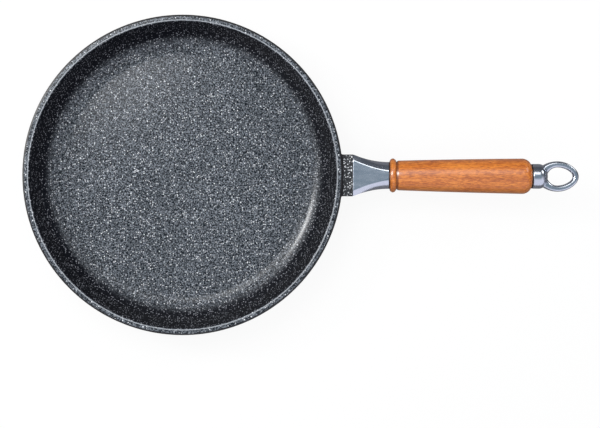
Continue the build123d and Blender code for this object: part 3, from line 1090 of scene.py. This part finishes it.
def makeSpunSteel():
    # the base disc: fine turning rings about the middle of the bowl
    look = spunLook
    material, tree, shader = newFinish("spunSteel")
    rings = addNode(tree, "ShaderNodeTexNoise", noise_dimensions="1D")
    feed(tree, setValues(rings, Scale=look["ringScale"], Detail=3.0), W=fromMiddle(tree))
    drift = driftNode(tree, look)
    tone = weigh(tree, rings.outputs["Fac"], look["ringShare"], drift["Patches"], look["patchShare"])
    feed(tree, shader, Base_Color=rampNode(tree, tone, look["colours"]),
         Roughness=rampNode(tree, tone, look["roughStops"]))
    shader.inputs["Metallic"].default_value = 1
    addBump(tree, shader, rings.outputs["Fac"], look)
    return material


# studio
studio = {
    "floorSize": 12.0, "floorColour": (0.93, 0.93, 0.93, 1), "floorBounce": (0.42, 0.42, 0.43, 1),
    "floorRough": 0.9, "floorGlow": 0.90, "glowNear": 0.35, "glowFar": 1.6, "white": (1.0, 1.0, 1.0, 1),
    "mirrorNear": (0.12, 0.12, 0.14, 1), "mirrorFar": (0.05, 0.05, 0.06, 1), "farFrom": 0.36, "farTo": 0.60,
    "light": [(0.4, (0.06, 0.06, 0.065, 1)), (1.0, (1.42, 1.43, 1.46, 1))],
    "front": [(0.0, (0.14, 0.14, 0.17, 1)), (0.35, (0.34, 0.34, 0.42, 1)), (0.84, (0.85, 0.87, 0.98, 1))],
    "back": (0.10, 0.11, 0.13, 1), "frontTo": -0.35, "backFrom": 0.2,
    "top": (0.23, 0.295, 0.355, 1), "topStops": [(0.86, 0.0), (0.97, 1.0)],
}
# a soft box that only polished surfaces mirror
frontBox = {"turn": -66, "fromTop": 68, "inner": 28, "outer": 44, "tone": (0.92, 0.92, 1.06, 1)}
# the gloss lamps only put highlights on polished surfaces
lamps = {
    "lampBack": {"turn": 128, "fromTop": 23, "distance": 0.90, "size": 0.40, "power": 2.7},
    "lampLeft": {"turn": 158, "fromTop": 48, "distance": 1.15, "size": 0.24, "power": 3.0},
    "lampRight": {"turn": 35, "fromTop": 60, "distance": 1.4, "size": 0.40, "power": 2.2},
    "glossBack": {"turn": 70, "fromTop": 30, "distance": 1.0, "size": 0.44, "power": 1.1},
    "glossLeft": {"turn": 160, "fromTop": 50, "distance": 1.15, "size": 0.38, "power": 15.0},
}


def wayTo(turn, fromTop):
    # direction from an angle about Z and an angle from straight up, in degrees
    turn, top = radians(turn), radians(fromTop)
    return Vector((sin(top) * cos(turn), sin(top) * sin(turn), cos(top)))


def makeFloor():
    bpy.ops.object.select_all(action="DESELECT")
    bpy.ops.mesh.primitive_plane_add(size=studio["floorSize"], location=(0, 0, 0))
    floor = bpy.context.object
    floor.name = "studioFloor"
    material, tree, shader = newFinish("studioWhite")
    shader.inputs["Roughness"].default_value = studio["floorRough"]
    shader.inputs["Specular IOR Level"].default_value = 0.0
    # white where it is seen, still dimmed by the shadow near the object
    radius = fromMiddle(tree)
    share = spanNode(tree, radius, studio["glowNear"], studio["glowFar"], studio["floorGlow"], smooth=True)
    rays = addNode(tree, "ShaderNodeLightPath").outputs
    seen = mathNode(tree, "MAXIMUM", rays["Is Camera Ray"], rays["Is Glossy Ray"])
    seen = mathNode(tree, "MAXIMUM", seen, rays["Is Transmission Ray"])
    # what it throws back at the object is kept low, so the handle's long edges stay dark
    colour = mixColours(tree, rays["Is Diffuse Ray"], studio["floorColour"], studio["floorBounce"])
    feed(tree, shader, Base_Color=colour)
    # mirrored, it is dim close by and darker further out
    far = spanNode(tree, radius, studio["farFrom"], studio["farTo"])
    mirrored = mixColours(tree, far, studio["mirrorNear"], studio["mirrorFar"])
    tint = mixColours(tree, rays["Is Glossy Ray"], studio["white"], mirrored)
    glow = feed(tree, addNode(tree, "ShaderNodeEmission"), Color=tint)
    blend = feed(tree, addNode(tree, "ShaderNodeMixShader"), Fac=mathNode(tree, "MULTIPLY", seen, share))
    tree.links.new(shader.outputs["BSDF"], blend.inputs[1])
    tree.links.new(glow.outputs["Emission"], blend.inputs[2])
    feed(tree, tree.nodes["Material Output"], Surface=blend.outputs["Shader"])
    floor.data.materials.append(material)
    print("floor made")


def makeSky():
    world = bpy.data.worlds.new("studioSky")
    world.use_nodes = True
    tree = world.node_tree
    way = addNode(tree, "ShaderNodeTexCoord").outputs["Generated"]
    split = feed(tree, addNode(tree, "ShaderNodeSeparateXYZ"), Vector=way).outputs
    # soft light mostly from overhead
    light = rampNode(tree, split["Z"], studio["light"], smooth=True)
    # what polished metal mirrors: pale in front, dark behind, cool grey overhead
    side = spanNode(tree, split["Y"], studio["frontTo"], studio["backFrom"])
    around = mixColours(tree, side, rampNode(tree, split["Z"], studio["front"]), studio["back"])
    height = rampNode(tree, split["Z"], studio["topStops"], smooth=True)
    mirror = mixColours(tree, height, around, studio["top"])
    near = addNode(tree, "ShaderNodeVectorMath", operation="DOT_PRODUCT")
    near.inputs[1].default_value = wayTo(frontBox["turn"], frontBox["fromTop"])
    tree.links.new(way, near.inputs[0])
    outer, inner = cos(radians(frontBox["outer"])), cos(radians(frontBox["inner"]))
    share = spanNode(tree, near.outputs["Value"], outer, inner, smooth=True)
    mirror = mixColours(tree, share, mirror, frontBox["tone"])
    rays = addNode(tree, "ShaderNodeLightPath").outputs
    seen = mixColours(tree, rays["Is Glossy Ray"], light, mirror)
    clear = mathNode(tree, "MAXIMUM", rays["Is Camera Ray"], rays["Is Transmission Ray"])
    feed(tree, tree.nodes["Background"], Color=mixColours(tree, clear, seen, studio["white"]))
    # without sampling of its own, the world keeps mirrored and diffuse light apart
    world.cycles.sampling_method = "NONE"
    bpy.context.scene.world = world
    print("sky made")


def makeLamps():
    for name, lamp in lamps.items():
        way = wayTo(lamp["turn"], lamp["fromTop"])
        bpy.ops.object.select_all(action="DESELECT")
        bpy.ops.object.light_add(type="AREA", location=way * lamp["distance"])
        light = bpy.context.object
        light.name = name
        light.rotation_euler = way.to_track_quat("Z", "Y").to_euler()
        light.data.shape = "DISK"
        light.data.size = lamp["size"]
        light.data.energy = lamp["power"]
        light.visible_camera = False
        light.visible_diffuse = not name.startswith("gloss")
    print("lamps made")


makeCamera()
metal = makeMetal()
rubber = makeRubber()
steel = makeSteel()
makeBowl(makeCoat(), makeSpray())
makeGuard(metal)
makeWasher("frontWasher", "front_washer", "pan", rubber)
makeGrip(makeWood())
makeWasher("endWasher", "end_washer", "loose_washer", rubber)
makeLoop(metal)
makeRod(steel)
hidden = {"rod_insert": steel, "lock_washer": steel, "lock_nut": steel, "base_disc": makeSpunSteel()}
for node, finish in hidden.items():
    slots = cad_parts[node].data.materials
    slots.clear()
    slots.append(finish)
makeFloor()
makeSky()
makeLamps()
bpy.context.scene.view_settings.view_transform = "Standard"
